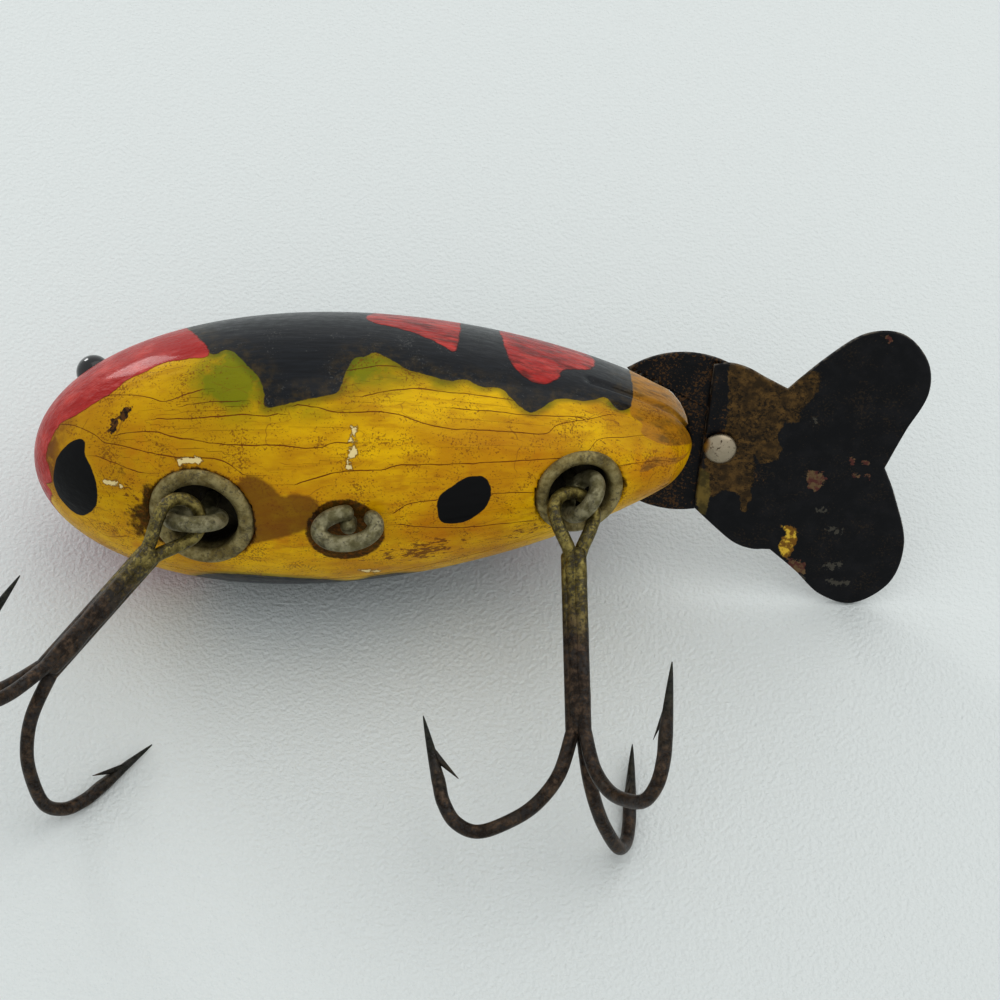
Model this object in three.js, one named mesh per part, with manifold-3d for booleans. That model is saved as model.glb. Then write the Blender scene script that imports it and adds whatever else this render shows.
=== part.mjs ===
// A wooden fishing lure lying on its side: a turned and painted body with two hook cups, three
// screw eyes, two treble hooks and a two-part sheet-metal tail. Millimetres, +Z up, nose at -X.
import * as THREE from 'three';
import { mergeVertices } from 'three/addons/utils/BufferGeometryUtils.js';
import Module from 'manifold-3d';

const wasm = await Module();
wasm.setup();

const DEG = Math.PI / 180;
const GAP = 0.3; // room between a piece and what it sits in

// The body, measured along its own axis from the nose. The axis lies in the plane of the tail.
const BODY_LENGTH = 70;
const TAPER_LENGTH = 73.4; // where the flanks would meet if the tail end weren't rounded off
const TAIL_ROUND_START = 66.3;
const FLANK = { peak: 14.2, nose: 0.5, tail: 0.85 };
const BELLY = { peak: 14.4, nose: 0.48, tail: 0.61 };
const BACK = { peak: 16.6, nose: 0.54, tail: 0.515 };
const BODY_SEGMENTS = 36;
const BODY_RINGS = 24;

// How the lure lies: the belly is turned up a little, and the tail stands on its lower lobe.
const BELLY_RISE = 22 * DEG;
const TAIL_RISE = 4.3 * DEG;
const REST_SPOT_DEPTH = 0.15; // the small flat rubbed on the side it lies on

// Round eyes on both sides of the head.
const EYE = { along: 6.2, round: 131 * DEG, radius: 1.85 };

// Hook cups, pressed from sheet: a domed flange round a straight-sided well.
const CUP = { flange: 5.6, dome: 0.7, well: 3.85, depth: 3.6, sheet: 0.45, sink: 0.75 };
const REAR_CUP = { ...CUP, flange: 4.7, well: 3.25 };
const FRONT_CUP_AT = 19.5;
const REAR_CUP_AT = 58.4;

// Screw eyes, bent from wire. The ring's middle stands over the wood by its lift and a little aside,
// and the ring leans that way. Wide and high are the half width and half height of its middle line.
const EYE_WIRE = 0.85;
const SCREW_EYES = [
  {
    name: 'front_screw_eye', along: FRONT_CUP_AT, turn: 0, lift: 1.25, aside: 0.87, lean: 20 * DEG,
    wide: 2.55, high: 2.55, shank: 13,
  },
  {
    name: 'middle_screw_eye', along: 34.9, turn: 4 * DEG, lift: 1.9, aside: 0.37, lean: -38 * DEG,
    wide: 2.9, high: 1.65, shank: 13,
  },
  {
    name: 'rear_screw_eye', along: REAR_CUP_AT, turn: 45 * DEG, lift: 0.4, aside: 0, lean: 0,
    wide: 2.15, high: 2.15, shank: 8,
  },
];

// Treble hooks. Along the shank from the middle of the eye, and out from the shank.
const WIRE = 0.7;
const HOOK_EYE = 2.2;
const SHANK_START = 1.9;
const BUNDLE = 0.78; // from the middle of the shank to the middle of each wire
const BEND = [
  [23, BUNDLE], [27.1, 2.2], [29.9, 4.5], [31.5, 7.2], [32.4, 10.5], [31.3, 12.8], [29.2, 14], [27.4, 14.4],
];
const TIP = [20.2, 16];
const BARB = [[22.6, 15.3], [28.3, 12.3], [26.6, 14.5]];
const BARB_WIDTH = 0.6;
const WIRE_SIDES = 6;
const LOOP_STEPS = 18;
// each treble starts at its slope and is then let down on the table; longer lengthens its shank
const TREBLES = [
  {
    name: 'front_treble_hook', ring: 0, reach: [-1.32, 0.68, 1.47], heading: -128.2, slope: 11, eyeTurn: 140,
    longer: -2.9, gape: 1.15, angles: [87.4, -70.7, -172],
  },
  {
    name: 'rear_treble_hook', ring: 2, reach: [-0.83, -0.86, 1.86], heading: -88, slope: 14.8, eyeTurn: 160.3,
    longer: 0.2, gape: 0.99, angles: [192.4, 59.1, -67.1],
  },
];

// The tail: a round plate in a saw cut in the end of the body, and a fin riveted under it.
const SHEET = 0.6;
const RIVET_AT = [72.9, -0.2];
const RIVET = { shank: 0.9, head: 1.8, dome: 1.0, foot: 1.5 };
const BASE_PLATE = { radius: 9.6, along: 68.9, across: 1.0 };
const FIN_TURN = -10 * DEG;
// the fin's outline from the rivet: its front corners, three notches and the round stretches between
const FIN = {
  frontTop: [-2.2, 9.5],
  topShoulder: [[-0.6, 9.9], [1.3, 9.6], [3.4, 8.7], [5.8, 7.75]],
  topLobe: [[8.9, 11.7], [12.5, 15.2], [16.3, 15.7], [19.4, 13], [20.3, 9.2], [18.9, 4.6], [17.6, -0.3]],
  lowLobe: [[19.4, -3.7], [21.5, -9.2], [21, -14.4], [17.6, -17.6], [13.8, -17], [10.6, -14.4], [7.4, -12.1]],
  lowShoulder: [[5.4, -12.3], [3.3, -11.7], [0.7, -9.8], [-1.5, -8]],
};

const finish = {
  paint: { color: 0xd2a41c, roughness: 0.35, metalness: 0 },
  blackGlass: { color: 0x0b0b0d, roughness: 0.12, metalness: 0 },
  corroded: { color: 0x6f6d55, roughness: 0.6, metalness: 0.8 },
  rusty: { color: 0x3c2f27, roughness: 0.55, metalness: 0.85 },
  blackPlate: { color: 0x16171a, roughness: 0.45, metalness: 0.4 },
  nickel: { color: 0xa9a7a2, roughness: 0.3, metalness: 1 },
};

// booleans

function solid(geometry) {
  const bare = geometry.index ? geometry.clone() : geometry;
  bare.deleteAttribute('normal');
  bare.deleteAttribute('uv');
  const merged = mergeVertices(bare, 1e-4);
  return new wasm.Manifold(new wasm.Mesh({
    numProp: 3,
    vertProperties: new Float32Array(merged.attributes.position.array),
    triVerts: new Uint32Array(merged.index.array),
  }));
}

function geometryOf(body) {
  const { vertProperties, triVerts } = body.getMesh();
  const geometry = new THREE.BufferGeometry();
  geometry.setAttribute('position', new THREE.BufferAttribute(vertProperties, 3));
  geometry.setIndex(new THREE.BufferAttribute(triVerts, 1));
  return geometry;
}

function joined(geometries) {
  return geometries.map(solid).reduce((a, b) => a.add(b));
}

function mesh(name, geometry, look) {
  const piece = new THREE.Mesh(geometry, new THREE.MeshStandardMaterial(look));
  piece.name = name;
  return piece;
}

// the body's surface

function swell(along, { peak, nose, tail }) {
  const u = along / TAPER_LENGTH;
  const widest = nose / (nose + tail);
  const shape = (x) => x ** nose * (1 - x) ** tail;
  const past = Math.max(0, (along - TAIL_ROUND_START) / (BODY_LENGTH - TAIL_ROUND_START));
  return peak * shape(u) / shape(widest) * Math.sqrt(Math.max(0, 1 - past * past));
}

// a point of the surface, its direction turned from the belly toward the upper side
function skin(along, round) {
  const side = swell(along, FLANK) * Math.sin(round);
  const depth = Math.cos(round) > 0 ? BELLY : BACK;
  return new THREE.Vector3(along, side, swell(along, depth) * Math.cos(round));
}

// a frame standing on the belly line, its Z pointing straight out of the wood
function bellyFrame(along, sink = 0, turn = 0) {
  const rise = swell(along + 0.5, BELLY) - swell(along - 0.5, BELLY);
  return new THREE.Matrix4()
    .makeTranslation(along, 0, swell(along, BELLY))
    .multiply(new THREE.Matrix4().makeRotationY(-Math.atan(rise)))
    .multiply(new THREE.Matrix4().makeTranslation(0, 0, -sink))
    .multiply(new THREE.Matrix4().makeRotationZ(turn));
}

function bodyBlank() {
  const ball = new THREE.SphereGeometry(1, BODY_SEGMENTS, BODY_RINGS);
  const p = ball.attributes.position;
  for (let i = 0; i < p.count; i++) {
    const along = BODY_LENGTH * (1 - p.getY(i)) / 2;
    const spot = skin(along, Math.atan2(p.getX(i), p.getZ(i)));
    p.setXYZ(i, spot.x, spot.y, spot.z);
  }
  return solid(ball);
}

// a round hole along the frame's own Z
function drill(frame, radius, top, bottom) {
  const cutter = new THREE.CylinderGeometry(radius, radius, top - bottom, 24);
  cutter.rotateX(Math.PI / 2).translate(0, 0, (top + bottom) / 2).applyMatrix4(frame);
  return solid(cutter);
}

function woodBody(lure) {
  let wood = bodyBlank();
  for (const [cup, along] of [[CUP, FRONT_CUP_AT], [REAR_CUP, REAR_CUP_AT]]) {
    const seat = bellyFrame(along, cup.sink);
    wood = wood.subtract(drill(seat, cup.flange + GAP, 6, -GAP));
    wood = wood.subtract(drill(seat, cup.well + cup.sheet + GAP, 1, -cup.depth - cup.sheet - GAP));
  }
  for (const eye of SCREW_EYES) {
    wood = wood.subtract(drill(bellyFrame(eye.along), EYE_WIRE + GAP, 3, ringFoot(eye) - eye.shank - GAP));
  }
  for (const side of [1, -1]) {
    const socket = new THREE.SphereGeometry(EYE.radius + GAP, 20, 14);
    const spot = skin(EYE.along, side * EYE.round);
    wood = wood.subtract(solid(socket.translate(spot.x, spot.y, spot.z)));
  }
  wood = wood.subtract(solid(eyeRing(SCREW_EYES[1], EYE_WIRE + GAP)));
  const slotStart = BASE_PLATE.along - BASE_PLATE.radius - GAP;
  const slot = new THREE.BoxGeometry(30, 60, SHEET + 2 * GAP).translate(slotStart + 15, 0, 0);
  wood = wood.subtract(solid(slot));
  const table = new THREE.BoxGeometry(200, 200, 20).translate(0, 0, -10);
  wood = wood.subtract(solid(table.applyMatrix4(lure.matrixWorld.clone().invert())));
  return mesh('wood_body', geometryOf(wood), finish.paint);
}

// small parts of the body

function eyeBead(name, side) {
  const bead = mesh(name, new THREE.SphereGeometry(EYE.radius, 16, 10), finish.blackGlass);
  bead.position.copy(skin(EYE.along, side * EYE.round));
  return bead;
}

function hookCup(name, along, { flange, dome, well, depth, sheet, sink }) {
  const rim = (flange + well) / 2;
  const profile = [
    [well, -depth], [well, 0.1], [rim - 0.5, dome], [rim + 0.2, dome], [flange, 0.15], [flange, 0],
    [well + sheet, -0.2], [well + sheet, -depth - sheet], [EYE_WIRE + GAP, -depth - sheet],
    [EYE_WIRE + GAP, -depth], [well, -depth],
  ].map(([r, z]) => new THREE.Vector2(r, z)).reverse();
  const shell = new THREE.LatheGeometry(profile, 20).rotateX(Math.PI / 2);
  shell.applyMatrix4(bellyFrame(along, sink));
  return mesh(name, shell, finish.corroded);
}

function ringMiddle({ along, turn, lift, aside }) {
  return new THREE.Vector3(0, aside, lift).applyMatrix4(bellyFrame(along, 0, turn));
}

// the height of the ring's lowest point, where the shank starts
function ringFoot({ lift, high, lean }) {
  return lift - high * Math.cos(lean);
}

function eyeRing({ along, turn, lift, aside, lean, wide, high }, wire) {
  const oval = new THREE.EllipseCurve(0, 0, wide, high).getPoints(12).slice(1);
  const line = new THREE.CatmullRomCurve3(oval.map((p) => new THREE.Vector3(p.x, 0, p.y)), true);
  const ring = new THREE.TubeGeometry(line, LOOP_STEPS, wire, 8, true);
  return ring.rotateX(-lean).translate(0, aside, lift).applyMatrix4(bellyFrame(along, 0, turn));
}

function screwEye(eye) {
  const length = eye.shank + EYE_WIRE * 0.8;
  const stem = new THREE.CylinderGeometry(EYE_WIRE, EYE_WIRE * 0.45, length, 8).rotateX(Math.PI / 2);
  stem.translate(0, 0, ringFoot(eye) - eye.shank + length / 2);
  stem.applyMatrix4(bellyFrame(eye.along, 0, eye.turn));
  return mesh(eye.name, geometryOf(joined([eyeRing(eye, EYE_WIRE), stem])), finish.corroded);
}

// treble hooks

// one wire from the shank round to its point, in the XY plane
function hookGeometries(gape, longer) {
  const place = ([along, out]) => new THREE.Vector3(along + longer, out * gape, 0);
  const points = BEND.map(place);
  points[0].y = BUNDLE;
  const curve = new THREE.CatmullRomCurve3(points);
  const ring = new THREE.Shape().absarc(0, 0, WIRE, 0, 2 * Math.PI);
  const bend = new THREE.ExtrudeGeometry(ring, { steps: 14, curveSegments: 3, extrudePath: curve });
  const straight = points[0].x + 0.3 - SHANK_START;
  const leg = new THREE.CylinderGeometry(WIRE, WIRE, straight, WIRE_SIDES).rotateZ(-Math.PI / 2);
  leg.translate(SHANK_START + straight / 2, BUNDLE, 0);
  const root = points[points.length - 1];
  const tip = place(TIP);
  const run = tip.clone().sub(root);
  const spear = new THREE.CylinderGeometry(0.06, WIRE, run.length() + 0.3, WIRE_SIDES);
  spear.rotateZ(Math.atan2(-run.x, run.y));
  spear.translate(...root.clone().add(tip).multiplyScalar(0.5).toArray());
  const wedge = new THREE.Shape(BARB.map(place));
  const barb = new THREE.ExtrudeGeometry(wedge, { depth: BARB_WIDTH, bevelEnabled: false });
  barb.translate(0, 0, -BARB_WIDTH / 2);
  return [bend, leg, spear, barb];
}

function trebleHook({ name, longer, gape, angles, eyeTurn }) {
  const wires = angles.flatMap((angle) => hookGeometries(gape, longer).map((g) => g.rotateX(angle * DEG)));
  const core = BEND[0][0] + longer - SHANK_START;
  const solder = new THREE.CylinderGeometry(BUNDLE, BUNDLE * 0.8, core, 6).rotateZ(-Math.PI / 2);
  solder.translate(SHANK_START + core / 2, 0, 0);
  const loop = new THREE.TorusGeometry(HOOK_EYE, WIRE, WIRE_SIDES, LOOP_STEPS).rotateX(eyeTurn * DEG);
  return mesh(name, geometryOf(joined([...wires, solder, loop])), finish.rusty);
}

// turns a hook about its eye until its lowest bend touches the table
function settle(hook) {
  for (let i = 0; i < 40; i++) {
    hook.updateWorldMatrix(true, false);
    const box = new THREE.Box3().setFromObject(hook, true);
    hook.rotation.y += box.min.z / 60;
  }
}

// the tail

// a flat sheet with the rivet's hole, its outline given round the rivet
function plate(name, outline, height) {
  const shape = new THREE.Shape(outline);
  const hole = new THREE.EllipseCurve(0, 0, RIVET.shank + GAP, RIVET.shank + GAP).getPoints(16).slice(1);
  shape.holes.push(new THREE.Path(hole));
  const sheet = new THREE.ExtrudeGeometry(shape, { depth: SHEET, bevelEnabled: false });
  const piece = mesh(name, sheet, finish.blackPlate);
  piece.position.set(...RIVET_AT, height);
  return piece;
}

function basePlate() {
  const { radius, along, across } = BASE_PLATE;
  const disc = new THREE.EllipseCurve(along - RIVET_AT[0], across - RIVET_AT[1], radius, radius);
  return plate('tail_base_plate', disc.getPoints(48).slice(1), -SHEET / 2);
}

function finPlate() {
  let outline = [new THREE.Vector2(...FIN.frontTop)];
  for (const stretch of [FIN.topShoulder, FIN.topLobe, FIN.lowLobe, FIN.lowShoulder]) {
    const through = stretch.map(([x, y]) => new THREE.Vector2(x, y));
    const curve = new THREE.SplineCurve([outline[outline.length - 1], ...through]);
    outline = outline.concat(curve.getPoints(through.length * 3).slice(1));
  }
  const piece = plate('tail_fin_plate', outline, SHEET / 2 + GAP);
  piece.rotation.z = FIN_TURN;
  return piece;
}

function tailRivet() {
  const top = SHEET / 2 + GAP + SHEET + GAP;
  const foot = -SHEET / 2 - GAP;
  const { shank, head, dome } = RIVET;
  const profile = [
    [0, foot - 0.5], [RIVET.foot * 0.8, foot - 0.5], [RIVET.foot, foot - 0.25], [RIVET.foot, foot],
    [shank, foot], [shank, top], [head, top], [head * 0.92, top + dome * 0.45],
    [head * 0.62, top + dome * 0.82], [head * 0.3, top + dome * 0.97], [0, top + dome],
  ].map(([r, z]) => new THREE.Vector2(r, z));
  const piece = mesh('tail_rivet', new THREE.LatheGeometry(profile, 16).rotateX(Math.PI / 2), finish.nickel);
  piece.position.set(...RIVET_AT, 0);
  return piece;
}

// putting it together

function lowestSkin(pose) {
  let lowest = Infinity;
  for (let along = 0; along <= BODY_LENGTH; along += 0.5) {
    for (let round = 0; round < 360; round += 3) {
      lowest = Math.min(lowest, skin(along, round * DEG).applyMatrix4(pose).z);
    }
  }
  return lowest;
}

const lure = new THREE.Group();
lure.rotation.set(Math.PI / 2 - BELLY_RISE, -TAIL_RISE, 0, 'YXZ');
lure.updateMatrixWorld();
lure.position.z = -lowestSkin(lure.matrixWorld) - REST_SPOT_DEPTH;
lure.updateMatrixWorld();
lure.add(woodBody(lure));
lure.add(eyeBead('eye_left', 1), eyeBead('eye_right', -1));
lure.add(hookCup('front_hook_cup', FRONT_CUP_AT, CUP), hookCup('rear_hook_cup', REAR_CUP_AT, REAR_CUP));
lure.add(...SCREW_EYES.map(screwEye));
lure.add(basePlate(), finPlate(), tailRivet());

const group = new THREE.Group();
group.add(lure);
for (const treble of TREBLES) {
  const hook = trebleHook(treble);
  const middle = ringMiddle(SCREW_EYES[treble.ring]);
  hook.position.copy(middle.add(new THREE.Vector3(...treble.reach)).applyMatrix4(lure.matrixWorld));
  hook.rotation.set(0, treble.slope * DEG, treble.heading * DEG, 'ZYX');
  settle(hook);
  group.add(hook);
}

// the origin is on the table, under the middle of the whole lure
const box = new THREE.Box3().setFromObject(group, true);
group.position.set(-(box.min.x + box.max.x) / 2, -(box.min.y + box.max.y) / 2, -box.min.z);

export default group;
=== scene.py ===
# %% [markdown]
# # An old wooden fishing lure
# A painted wooden plug lies on its side with the belly turned to us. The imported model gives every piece
# its place and size. This lesson rebuilds each piece as a fine surface worked out with numpy, and gives it
# the aged finish of the real thing: cracked enamel, dull cups, rusty hooks and a worn black tail.

# %% Load the frame
import bpy
import numpy as np
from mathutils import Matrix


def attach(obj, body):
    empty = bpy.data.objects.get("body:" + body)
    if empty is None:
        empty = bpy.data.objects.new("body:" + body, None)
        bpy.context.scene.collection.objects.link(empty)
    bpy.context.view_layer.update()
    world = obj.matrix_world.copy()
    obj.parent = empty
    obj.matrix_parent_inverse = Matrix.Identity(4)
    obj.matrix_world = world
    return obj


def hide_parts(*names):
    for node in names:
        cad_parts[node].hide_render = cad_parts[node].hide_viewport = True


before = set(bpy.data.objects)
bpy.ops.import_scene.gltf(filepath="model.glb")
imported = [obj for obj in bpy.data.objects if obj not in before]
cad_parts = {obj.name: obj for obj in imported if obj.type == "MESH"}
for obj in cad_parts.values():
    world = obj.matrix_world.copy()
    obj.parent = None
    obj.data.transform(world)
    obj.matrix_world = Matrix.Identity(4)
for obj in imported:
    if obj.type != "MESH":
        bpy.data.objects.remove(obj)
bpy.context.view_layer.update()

# %% [markdown]
# ## Where the lure lies
# The lure is easiest to describe along its own axis: x runs from the nose to the tail, y points to the
# side that lies uppermost, and z points out of the belly. It rests rolled over by 68 degrees with its
# tail a little raised, so one turning matrix and the place of the nose carry everything to the table.

# %% From the lure's own axes to the table
def turn(axis, degrees):
    """The 3 by 3 matrix that turns about x, y or z by the right-hand rule."""
    a, b = {"x": (1, 2), "y": (2, 0), "z": (0, 1)}[axis]
    matrix = np.eye(3)
    matrix[a, a] = matrix[b, b] = np.cos(np.radians(degrees))
    matrix[b, a] = np.sin(np.radians(degrees))
    matrix[a, b] = -matrix[b, a]
    return matrix


LENGTH = 70
ROLLED = 68
TAIL_RAISED = 4.3
NOSE = np.array([-41.1028, 15.017, 12.3133])
LAY = turn("y", -TAIL_RAISED) @ turn("x", ROLLED)


def on_table(points):
    """A point's place on the table is the nose plus its place in the lure's own axes, turned."""
    return NOSE + points @ LAY.T


print("tail end lies at", on_table(np.array([LENGTH, 0, 0])).round(2), "mm")

# %% [markdown]
# ## Surfaces from grids
# Almost every piece here is a stack of rings: the body, a cup, a wire. A grid of points with rows and
# columns becomes quads between neighbours. Rings that don't close on themselves get a pole at each end.
# The sign of the enclosed volume tells whether the faces point outwards.

# %% Grid helpers
def outward(points, faces):
    """Turns all faces round if the volume they enclose comes out negative."""
    corners = points[np.array([face[:3] for face in faces])]
    far = points[np.array([[face[0], face[-2], face[-1]] for face in faces])]
    flux = np.einsum("ij,ij->i", corners[:, 0], np.cross(corners[:, 1], corners[:, 2])).sum()
    quad = np.array([len(face) == 4 for face in faces])
    flux += np.einsum("ij,ij->i", far[quad, 0], np.cross(far[quad, 1], far[quad, 2])).sum()
    return [face[::-1] for face in faces] if flux < 0 else faces


def loft(rings, closed=False):
    """Quads between rows of a (rows, columns, 3) grid, the last column joined to the first."""
    rows, columns = rings.shape[:2]
    i = np.arange(rows if closed else rows - 1)[:, None] * columns
    j = np.arange(columns)[None]
    k, down = (j + 1) % columns, (i + columns) % (rows * columns)
    quads = np.stack([i + j, i + k, down + k, down + j], -1).reshape(-1, 4).tolist()
    points = rings.reshape(-1, 3)
    if closed:
        return points, outward(points, quads)
    j, k, last = j[0], k[0], (rows - 1) * columns
    start = np.stack([0 * j + len(points), k, j], -1).tolist()
    end = np.stack([0 * j + len(points) + 1, last + j, last + k], -1).tolist()
    points = np.vstack([points, rings[0].mean(0), rings[-1].mean(0)])
    return points, outward(points, quads + start + end)


def together(*shells):
    """Several closed shells in one list of points and faces."""
    points, faces, count = [], [], 0
    for shell_points, shell_faces in shells:
        points.append(shell_points)
        faces += [[corner + count for corner in face] for face in shell_faces]
        count += len(shell_points)
    return np.vstack(points), faces


# %% Turn a surface into a piece of the lure
PIECES = {}


def make_piece(name, place, shell, body, node, slot, marks=None):
    """Puts points in millimetres on the table as a mesh, with place and the marks as attributes."""
    points, faces = shell
    mesh = bpy.data.meshes.new(name)
    mesh.from_pydata((place(points) / 1000).tolist(), [], faces)
    mesh.polygons.foreach_set("use_smooth", np.ones(len(faces), bool))
    spot = mesh.attributes.new("place", "FLOAT_VECTOR", "POINT")
    spot.data.foreach_set("vector", np.ascontiguousarray(points, np.float32).ravel())
    for mark, values in (marks or {}).items():
        layer = mesh.attributes.new(mark, "FLOAT", "POINT")
        layer.data.foreach_set("value", np.ascontiguousarray(values, np.float32))
    piece = bpy.data.objects.new(name, mesh)
    bpy.context.scene.collection.objects.link(piece)
    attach(piece, body)
    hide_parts(node)
    PIECES.setdefault(slot, []).append(piece)
    print(name, len(points), "points")


def smooth_step(value, low, high):
    """0 below low, 1 above high and an even S between them."""
    t = np.clip((value - low) / (high - low), 0, 1)
    return t * t * (3 - 2 * t)


# %% [markdown]
# ## The wooden body
# The body was turned on a lathe and is deeper at the back than at the belly. Its half widths follow
# u^a (1-u)^b, a curve that is round at the nose and slim at the tail, with a blunt rounded end. Where the
# cups sit the surface is pressed in, as the drill left it, and a narrow groove shows where the tail plate
# enters the wood.

# %% The body's surface
CURVE_LENGTH = 73.4
END_ROUND = 3.7
FLANK, BELLY, BACK = (14.2, 0.5, 0.85), (14.4, 0.48, 0.61), (16.6, 0.54, 0.515)


def swell(along, peak, nose, tail):
    """Peak times u^nose (1-u)^tail over its own top, rounded off over the last few millimetres."""
    u = np.clip(along / CURVE_LENGTH, 1e-9, 1)
    widest = nose / (nose + tail)
    top = widest ** nose * (1 - widest) ** tail
    past = np.clip((along - LENGTH + END_ROUND) / END_ROUND, 0, 1)
    return peak * u ** nose * (1 - u) ** tail / top * np.sqrt(1 - past ** 3)


def skin(along, round_deg):
    """The surface point at a place along the body, turned from the belly toward the upper side."""
    angle = np.radians(round_deg)
    wide = swell(along, *FLANK)
    depth = np.where(np.cos(angle) > 0, swell(along, *BELLY), swell(along, *BACK))
    return np.stack([along + 0 * angle, wide * np.sin(angle), depth * np.cos(angle)], -1)


# %% Frames that stand on the belly
def belly_frame(along, sink=0, spin=0):
    """A corner point and a matrix whose columns are a frame with z straight out of the wood."""
    rise = swell(along + 0.5, *BELLY) - swell(along - 0.5, *BELLY)
    axes = turn("y", -np.degrees(np.arctan(rise)))
    corner = np.array([along, 0, swell(along, *BELLY)]) - axes[:, 2] * sink
    return corner, axes @ turn("z", spin)


CUPS = {"front": dict(along=19.5, flange=5.6, well=3.85),
        "rear": dict(along=58.4, flange=4.7, well=3.25)}
CUP_SINK = 0.75
CUP_DEPTH = 3.6
CUP_SHEET = 0.45
HOLE_ROOM = 0.6
HOLE_DEEP = CUP_DEPTH + 0.7
SEAT_ROOM = 0.12
SEAT_DEEP = 0.1
SLOT = 0.35
GROOVE_FADES = (58.8, 60)
GROOVE_SOFT = 0.4
GROOVE_DEEP = 0.45

# %% Shape the body
def body_rings(rows=326, columns=288):
    """The skin on a grid, closer together toward nose and tail, with the cup seats and the groove."""
    along = LENGTH / 2 * (1 - np.cos(np.pi * (np.arange(rows) + 0.7) / (rows + 0.4)))
    round_deg = np.arange(columns) * 360 / columns
    rings = skin(along[:, None], round_deg[None])
    for cup in CUPS.values():
        corner, axes = belly_frame(cup["along"], CUP_SINK)
        near = (rings - corner) @ axes
        far_out = np.hypot(near[..., 0], near[..., 1])
        floor = np.where(far_out < cup["well"] + HOLE_ROOM, -HOLE_DEEP, -SEAT_DEEP)
        seat = (far_out < cup["flange"] + SEAT_ROOM) & (near[..., 2] > -3)
        near[..., 2] = np.where(seat, np.minimum(near[..., 2], floor), near[..., 2])
        rings = corner + near @ axes.T
    beside = smooth_step(abs(rings[..., 2]), SLOT, SLOT + GROOVE_SOFT)
    groove = smooth_step(rings[..., 0], *GROOVE_FADES) * (1 - beside)
    rings[..., 1] -= np.sign(rings[..., 1]) * GROOVE_DEEP * groove
    rings[..., 0] -= GROOVE_SOFT * groove * smooth_step(rings[..., 0], LENGTH - 2, LENGTH)
    return rings, along, round_deg


rings, body_along, body_round = body_rings()
body_shell = loft(rings)
print("widest half width", rings[..., 1].max().round(2), "mm")

# %% [markdown]
# ## Painted areas as distances
# Enamel areas have clear outlines, so each one is a short list of points: millimetres along the body and
# degrees round it. For every point of the body the distance to that outline is stored, negative inside.
# The material then cuts the distance at zero and lets noise wander the edge, which stays sharp at any size.

# %% Distances to outlines and strokes
ROUND_MM = 0.245


def rounded(points, steps=5, closed=True):
    """A smooth line through the points, each span bent by its neighbours."""
    points = np.array(points, float)
    if closed:
        before, after, end = np.roll(points, 1, 0), np.roll(points, -1, 0), np.roll(points, -2, 0)
    else:
        padded = np.vstack([points[:1], points, points[-1:]])
        before, points, after, end = padded[:-3], padded[1:-2], padded[2:-1], padded[3:]
        end = np.vstack([end, padded[-1:]])[:len(points)]
    t = (np.arange(steps) / steps)[:, None, None]
    bend = 2 * points + t * (after - before) + t * t * (2 * before - 5 * points + 4 * after - end)
    line = (bend + t ** 3 * (3 * points - before - 3 * after + end)) / 2
    line = line.transpose(1, 0, 2).reshape(-1, 2)
    return line if closed else np.vstack([line, padded[-1:]])


def distance_to(line, x, y, closed=True):
    """Shortest distance from each point to a line, negative inside it where it closes."""
    ends = np.roll(line, -1, 0) if closed else line[1:]
    nearest, inside = np.full(x.shape, 1e9), np.zeros(x.shape, bool)
    for (ax, ay), (bx, by) in zip(line, ends):
        dx, dy = bx - ax, by - ay
        t = np.clip(((x - ax) * dx + (y - ay) * dy) / (dx * dx + dy * dy + 1e-12), 0, 1)
        nearest = np.minimum(nearest, np.hypot(x - ax - t * dx, y - ay - t * dy))
        if closed and ay != by:
            inside ^= ((ay > y) != (by > y)) & (x < dx * (y - ay) / dy + ax)
    return np.where(inside, -nearest, nearest)


# %% Read a painted outline on the body
grid_along = np.repeat(body_along[:, None], len(body_round), 1)
grid_round = np.repeat(body_round[None], len(body_along), 0)


def degrees_from(round_deg):
    """Degrees round the body from a direction, -180 to 180."""
    return (grid_round - round_deg + 180) % 360 - 180


def painted(outline, middle=180):
    """Distance on the body to an outline of (millimetres along, degrees round).

    The degrees run from half a turn below middle to half a turn above it, so an outline that crosses
    the belly line, where they would start again, has 0 as its middle.
    """
    angle = degrees_from(middle) + middle
    return distance_to(rounded(outline) * [1, ROUND_MM], grid_along, angle * ROUND_MM)


def strokes(pairs, half_width):
    """Distance to short straight strokes, less their half width."""
    round_mm = degrees_from(0) * ROUND_MM
    gaps = [distance_to(np.array(pair) * [1, ROUND_MM], grid_along, round_mm, False) for pair in pairs]
    return np.min(gaps, 0) - half_width


# %% The black back, the red head and the red patches
HEAD_LINE = [(17.8, 102), (16, 125), (14.5, 150), (14, 180), (14.4, 210), (16, 250), (16.8, 280)]
BLACK_UPPER = [(20.6, 78), (22.6, 79), (25, 68), (26.1, 62), (26.7, 55), (26.9, 49), (28.8, 50),
               (30.6, 52), (33.7, 55), (34.5, 59), (34.9, 66), (35.7, 74), (36.7, 75), (37.7, 78), (39.2, 75),
               (41, 70), (43.1, 68), (45.2, 66), (47, 68), (48.7, 65), (50.5, 66), (51.5, 61), (53.4, 54),
               (54.7, 58), (55.8, 64), (57.2, 67), (58.9, 68), (60.1, 72), (61.2, 76), (62.2, 68),
               (62.9, 68), (63.7, 75), (63.9, 98), (63.6, 124), (63.4, 150)]
BLACK_UNDER = [(63.4, 215), (63.8, 262), (63, 296), (60.5, 301), (58, 290), (54, 296), (50, 304), (46, 292),
               (42.5, 296), (39.5, 314), (36.5, 316), (34, 310), (30.4, 319), (24, 324), (19, 320),
               (16.5, 302)]
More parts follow.
